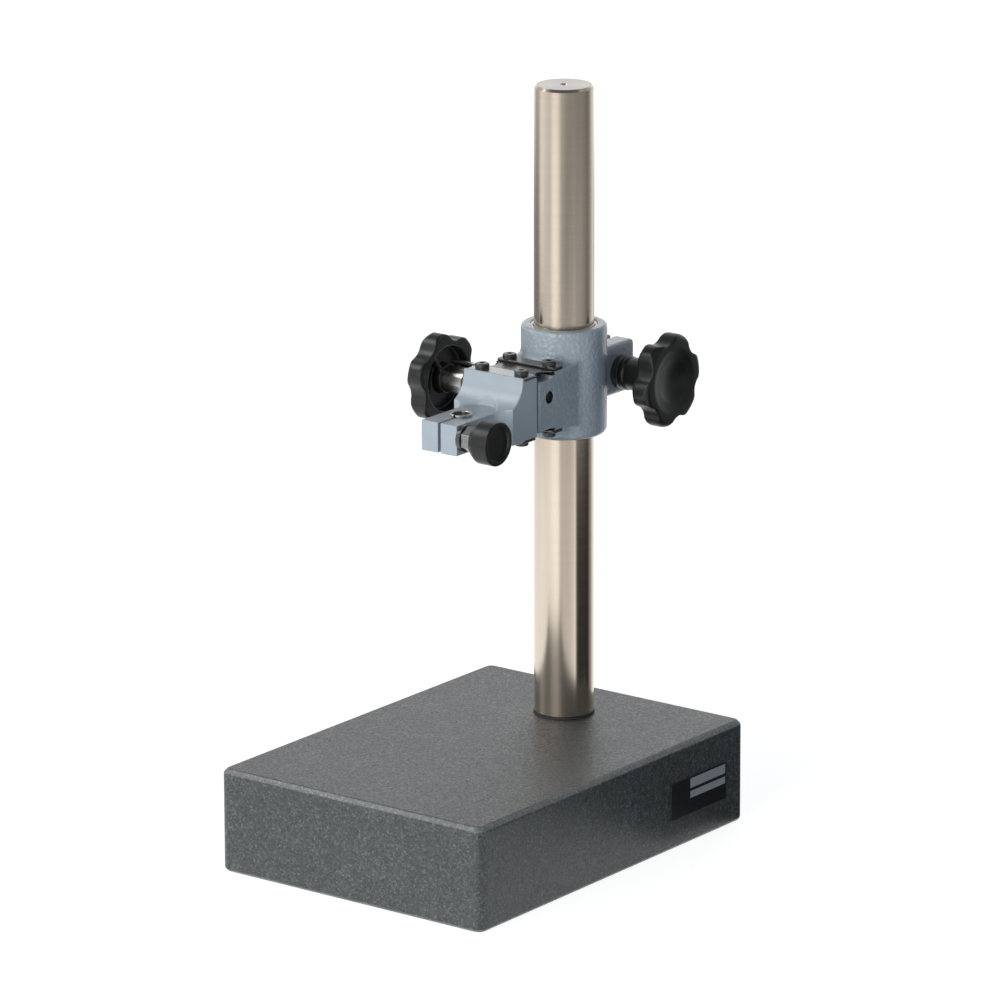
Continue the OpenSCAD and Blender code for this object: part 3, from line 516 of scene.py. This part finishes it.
def bearing_bronze():
    """Turned bearing metal, gone a little dull."""
    s = Surface("bearing_bronze", (0.62, 0.45, 0.20), 0.28, Metallic=1.0)
    marks = s.noise(1.0, 2.0, 0.6, s.stretched(3800, 300, 300))
    s.drive("Base Color", s.ramp(marks, [(0.3, (0.26, 0.20, 0.11)), (0.7, (0.36, 0.28, 0.17))]))
    s.drive("Roughness", s.spread(marks, 0.22, 0.36))
    s.bump((marks, 0.00001, 0.4))
    return s.material


# The finish of each material slot in the record
finishes = {
    "granite": granite(),
    "black_plate": anodised_black(),
    "ground_steel": ground_chrome(),
    "black_rubber": rubber(),
    "black_steel": black_oxide(),
    "bright_steel": bright_steel(),
    "hammered_paint": hammered_paint(),
    "smooth_paint": smooth_paint(),
    "spring_steel": strip_steel("spring_steel", (0.15, 0.151, 0.148), (0.22, 0.222, 0.217)),
    "bearing_brass": bearing_bronze(),
    "black_plastic": black_plastic(),
}


# Two pieces whose steel differs from the rest of their slot
own_steels = {
    "upper_front_clamp": strip_steel("clamp_steel", (0.36, 0.364, 0.370), (0.48, 0.485, 0.492)),
    "stem_screw": dull_steel(),
}


def dress_nodes():
    """Gives every CAD node its slot's finish, or its own."""
    for part in frame["record"]["subparts"]:
        nodes[part["node"]].material_slots[0].material = finishes[part["material_slot"]]
    for name, steel in own_steels.items():
        nodes[name].material_slots[0].material = steel


# Soft edges on the CAD pieces


def smooth_faces(obj):
    """Joins the faces' corners and shades them smooth, by modifiers and flags only."""
    if "custom_normal" in obj.data.attributes:
        obj.data.attributes.remove(obj.data.attributes["custom_normal"])
    for face in obj.data.polygons:
        face.use_smooth = True
    weld = obj.modifiers.new("weld", "WELD")
    weld.merge_threshold = WELD_DISTANCE


def cast(obj, grid, passes):
    """Rounds every edge of a casting or moulding, outer and inner, as its mould does."""
    smooth_faces(obj)
    skin = obj.modifiers.new("skin", "REMESH")
    skin.mode = "VOXEL"
    skin.voxel_size = grid
    skin.use_smooth_shade = True
    relax = obj.modifiers.new("relax", "SMOOTH")
    relax.factor = 0.5
    relax.iterations = passes


def bevelled(obj, width, segments, merge_flat=True):
    """Breaks the sharp edges of a machined piece and shades the rest smooth."""
    smooth_faces(obj)
    if merge_flat:
        flat = obj.modifiers.new("flat faces", "DECIMATE")
        flat.decimate_type = "DISSOLVE"
        flat.angle_limit = FLAT_ANGLE
    bevel = obj.modifiers.new("edges", "BEVEL")
    bevel.width = width
    bevel.segments = segments
    bevel.limit_method = "ANGLE"
    bevel.angle_limit = SHARP_ANGLE
    bevel.use_clamp_overlap = merge_flat
    bevel.loop_slide = False
    bevel.miter_outer = "MITER_ARC"
    normals = obj.modifiers.new("normals", "WEIGHTED_NORMAL")
    normals.keep_sharp = True


def soften_nodes():
    for name, obj in nodes.items():
        if name in CAST_PIECES:
            cast(obj, *CAST_PIECES[name])
        elif name == "granite_base":
            bevelled(obj, *STONE_EDGE, merge_flat=False)
        else:
            bevelled(obj, *MACHINED_EDGE)


# Leaf springs


def bending_leaf(name):
    """Replaces a leaf by a copy with strips across it between bracket and arm."""
    bm = bmesh.new()
    bm.from_mesh(nodes[name].data)
    bmesh.ops.remove_doubles(bm, verts=bm.verts, dist=WELD_DISTANCE)
    arm_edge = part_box("upper_front_clamp")[1].y
    bracket_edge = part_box("upper_rear_clamp")[0].y
    for i in range(LEAF_STRIPS + 1):
        y = arm_edge + (bracket_edge - arm_edge) * i / LEAF_STRIPS
        geometry = bm.verts[:] + bm.edges[:] + bm.faces[:]
        bmesh.ops.bisect_plane(bm, geom=geometry, plane_co=(0, y, 0), plane_no=(0, 1, 0))
    leaf = mesh_object(name + "_strip", bm)
    leaf.data.materials.append(finishes["spring_steel"])
    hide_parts(name)
    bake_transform(leaf)


# Studio


def stage_floor():
    """A white floor that glows a little, so that it stays white where no lamp reaches."""
    bm = bmesh.new()
    bmesh.ops.create_circle(bm, cap_ends=True, segments=96, radius=FLOOR_RADIUS)
    floor = mesh_object("studio_floor", bm)
    white = (FLOOR_WHITE, FLOOR_WHITE, FLOOR_WHITE)
    glowing = {"Emission_Color": (1, 1, 1, 1), "Emission_Strength": FLOOR_GLOW}
    s = Surface("studio_floor", white, 0.9, Specular_IOR_Level=0.0, **glowing)
    floor.data.materials.append(s.material)
    floor.visible_diffuse = False


def glossy_only(obj):
    """Shows an object in reflections and nowhere else, as a studio's cards work."""
    obj.visible_camera = False
    obj.visible_diffuse = False
    obj.visible_shadow = False
    obj.visible_transmission = False
    obj.visible_volume_scatter = False


def panel_wall(name, centre):
    """An upright round wall about a point, facing inward."""
    bm = bmesh.new()
    pairs = []
    for i in range(PANEL_STEPS + 1):
        foot = centre + direction(-180 + 360 * i / PANEL_STEPS) * PANEL_RADIUS
        pairs.append([bm.verts.new((foot.x, foot.y, z)) for z in (0.0, PANEL_HEIGHT)])
    for a, b in zip(pairs, pairs[1:]):
        bm.faces.new((a[0], b[0], b[1], a[1]))
    return mesh_object(name, bm)


def glow(name, rows, centre):
    """Emission that follows the azimuth round a point and the height: rows are (height, stops)."""
    material = bpy.data.materials.new(name)
    material.use_nodes = True
    tree = material.node_tree
    tree.nodes.clear()

    def add(kind, inputs=None, **settings):
        return add_node(tree, kind, inputs, **settings).outputs

    place = add("ShaderNodeTexCoord")["Object"]
    offset = add("ShaderNodeVectorMath", {0: place, 1: centre}, operation="SUBTRACT")[0]
    split = add("ShaderNodeSeparateXYZ", {0: offset})
    front = add("ShaderNodeMath", {0: split["Y"], 1: -1}, operation="MULTIPLY")[0]
    angle = add("ShaderNodeMath", {0: split["X"], 1: front}, operation="ARCTAN2")[0]
    turn = add("ShaderNodeMapRange", {0: angle, 1: -math.pi, 2: math.pi})[0]
    colour = None
    for i, (height, stops) in enumerate(rows):
        band = add_node(tree, "ShaderNodeValToRGB", {0: turn})
        for j, (azimuth, level) in enumerate(stops):
            position = (azimuth + 180) / 360
            elements = band.color_ramp.elements
            stop = elements[j] if j < 2 else elements.new(position)
            stop.position = position
            stop.color = (*(level * tint for tint in PANEL_TINT), 1)
        if colour is None:
            colour = band.outputs[0]
        else:
            share = add("ShaderNodeMapRange", {0: split["Z"], 1: rows[i - 1][0], 2: height})[0]
            mix = {0: share, 6: colour, 7: band.outputs[0]}
            colour = add("ShaderNodeMix", mix, data_type="RGBA")[2]
    emission = add("ShaderNodeEmission", {"Color": colour})[0]
    add("ShaderNodeOutputMaterial", {"Surface": emission})
    return material


def floor_sector(name, centre, radii, azimuths):
    """A flat card on the floor, a sector of a ring round a point."""
    bm = bmesh.new()
    pairs = []
    for i in range(CARD_STEPS + 1):
        side = direction(azimuths[0] + (azimuths[1] - azimuths[0]) * i / CARD_STEPS)
        spots = [Vector((centre.x, centre.y, CARD_HEIGHT)) + side * r for r in radii]
        pairs.append([bm.verts.new(spot) for spot in spots])
    for a, b in zip(pairs, pairs[1:]):
        bm.faces.new((a[0], a[1], b[1], b[0]))
    return mesh_object(name, bm)


def studio_cards():
    """What glossy faces mirror: a surround of light panels, and cards on the floor."""
    low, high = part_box("column")
    axis = Vector(((low.x + high.x) / 2, (low.y + high.y) / 2, 0))
    wall = panel_wall("studio_panels", axis)
    wall.data.materials.append(glow("studio_panels", PANEL_ROWS, axis))
    glossy_only(wall)
    for name, azimuths, radii, levels in FLOOR_CARDS:
        card = floor_sector(name, axis, radii, azimuths)
        card.data.materials.append(glow(name, ((0, levels),), axis))
        glossy_only(card)


def soft_light(name, azimuth, elevation, distance, size, power, colour):
    """A square soft box that faces the object from a direction."""
    data = bpy.data.lights.new(name, "AREA")
    data.shape = "SQUARE"
    data.size = size
    data.energy = power
    data.color = colour
    lamp = link(bpy.data.objects.new(name, data))
    back = direction(azimuth, elevation)
    lamp.location = CAMERA_TARGET + back * distance
    lamp.rotation_mode = "QUATERNION"
    lamp.rotation_quaternion = (-back).to_track_quat("-Z", "Y")


def light_studio():
    """Lamps, and a fill that grows darker upward; the camera itself sees white behind the stand."""
    world = bpy.data.worlds.new("studio")
    world.use_nodes = True
    tree = world.node_tree
    place = add_node(tree, "ShaderNodeTexCoord").outputs["Generated"]
    up = add_node(tree, "ShaderNodeSeparateXYZ", {0: place}).outputs["Z"]
    levels = {0: up, 6: (*FILL_LEVEL, 1), 7: (*FILL_ABOVE, 1)}
    fill = add_node(tree, "ShaderNodeMix", levels, data_type="RGBA").outputs[2]
    seen = add_node(tree, "ShaderNodeLightPath").outputs["Is Camera Ray"]
    behind = {0: seen, 6: fill, 7: (1, 1, 1, 1)}
    colour = add_node(tree, "ShaderNodeMix", behind, data_type="RGBA").outputs[2]
    tree.links.new(colour, tree.nodes["Background"].inputs["Color"])
    bpy.context.scene.world = world
    for lamp in LAMPS:
        soft_light(*lamp)
    view = bpy.context.scene.view_settings
    view.view_transform = "Standard"
    view.look = "None"


place_camera()
dress_nodes()
bending_leaf("upper_leaf")
bending_leaf("lower_leaf")
soften_nodes()
stage_floor()
studio_cards()
light_studio()
